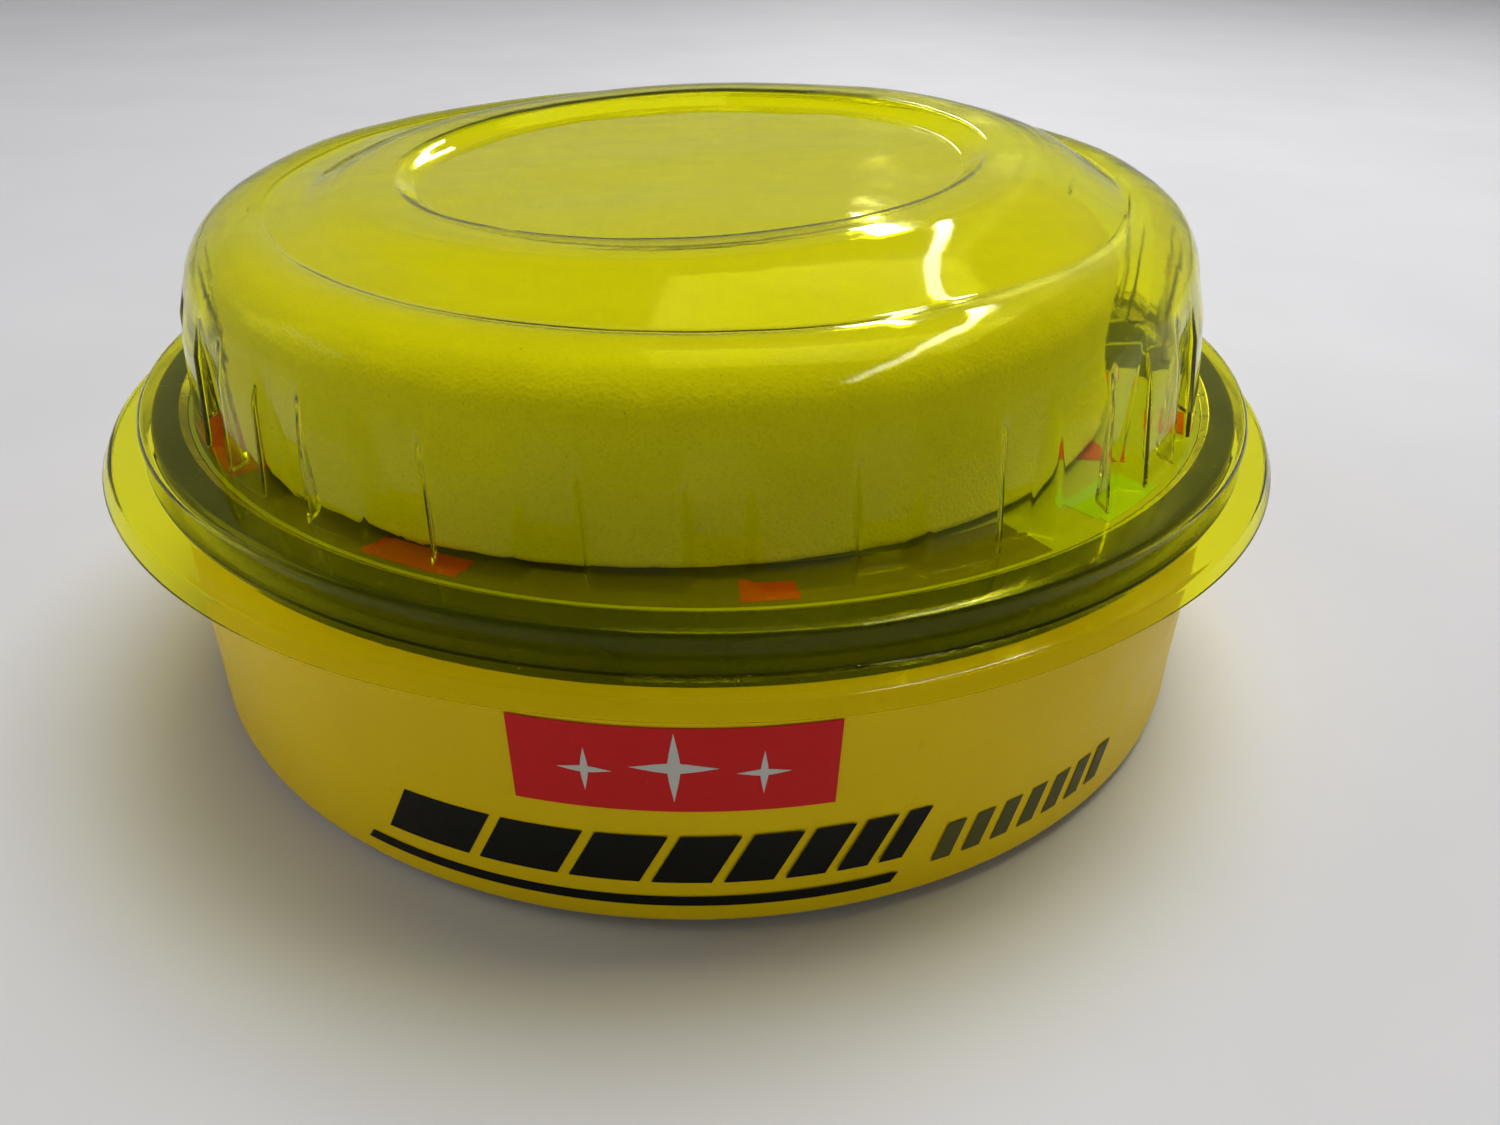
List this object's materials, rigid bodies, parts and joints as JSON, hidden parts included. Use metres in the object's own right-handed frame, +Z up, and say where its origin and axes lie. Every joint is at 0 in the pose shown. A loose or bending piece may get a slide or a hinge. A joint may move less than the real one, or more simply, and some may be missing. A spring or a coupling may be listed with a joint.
{
  "type": "polish tin",
  "caption": "Round slip-lid tin of paste polish, with a foam applicator pad kept on the lid under a clear fluted plastic overcap.",
  "frame": {"origin": "centre of the face the tin stands on, on the tin's axis", "axes": "+Z up along the tin's axis, from the can's base to the overcap's crown; -Y is the printed front of the can"},
  "size_m": [0.13, 0.13, 0.0563],
  "materials": {
    "can_print": "gloss",
    "lid_print": "gloss",
    "seal": "matte",
    "paste": "satin",
    "foam": "matte",
    "cap_plastic": "gloss"
  },
  "bodies": {
    "can": {"can_body": "can_print", "polish_paste": "paste"},
    "lid": {"lid": "lid_print", "lid_seal": "seal"},
    "cap": {"overcap": "cap_plastic"},
    "pad": {"applicator_sponge": "foam"}
  },
  "joints": [
    {"name": "lid_lift", "type": "slide", "parent": "can", "child": "lid", "axis": [0, 0, 1], "range_m": [0, 0.045]},
    {"name": "cap_lift", "type": "slide", "parent": "lid", "child": "cap", "axis": [0, 0, 1], "range_m": [0, 0.07]},
    {"name": "pad_lift", "type": "slide", "parent": "lid", "child": "pad", "axis": [0, 0, 1], "range_m": [0, 0.028]}
  ],
  "couplings": [
    {"joint": "pad_lift", "follows": "cap_lift", "ratio": 0.4}
  ]
}
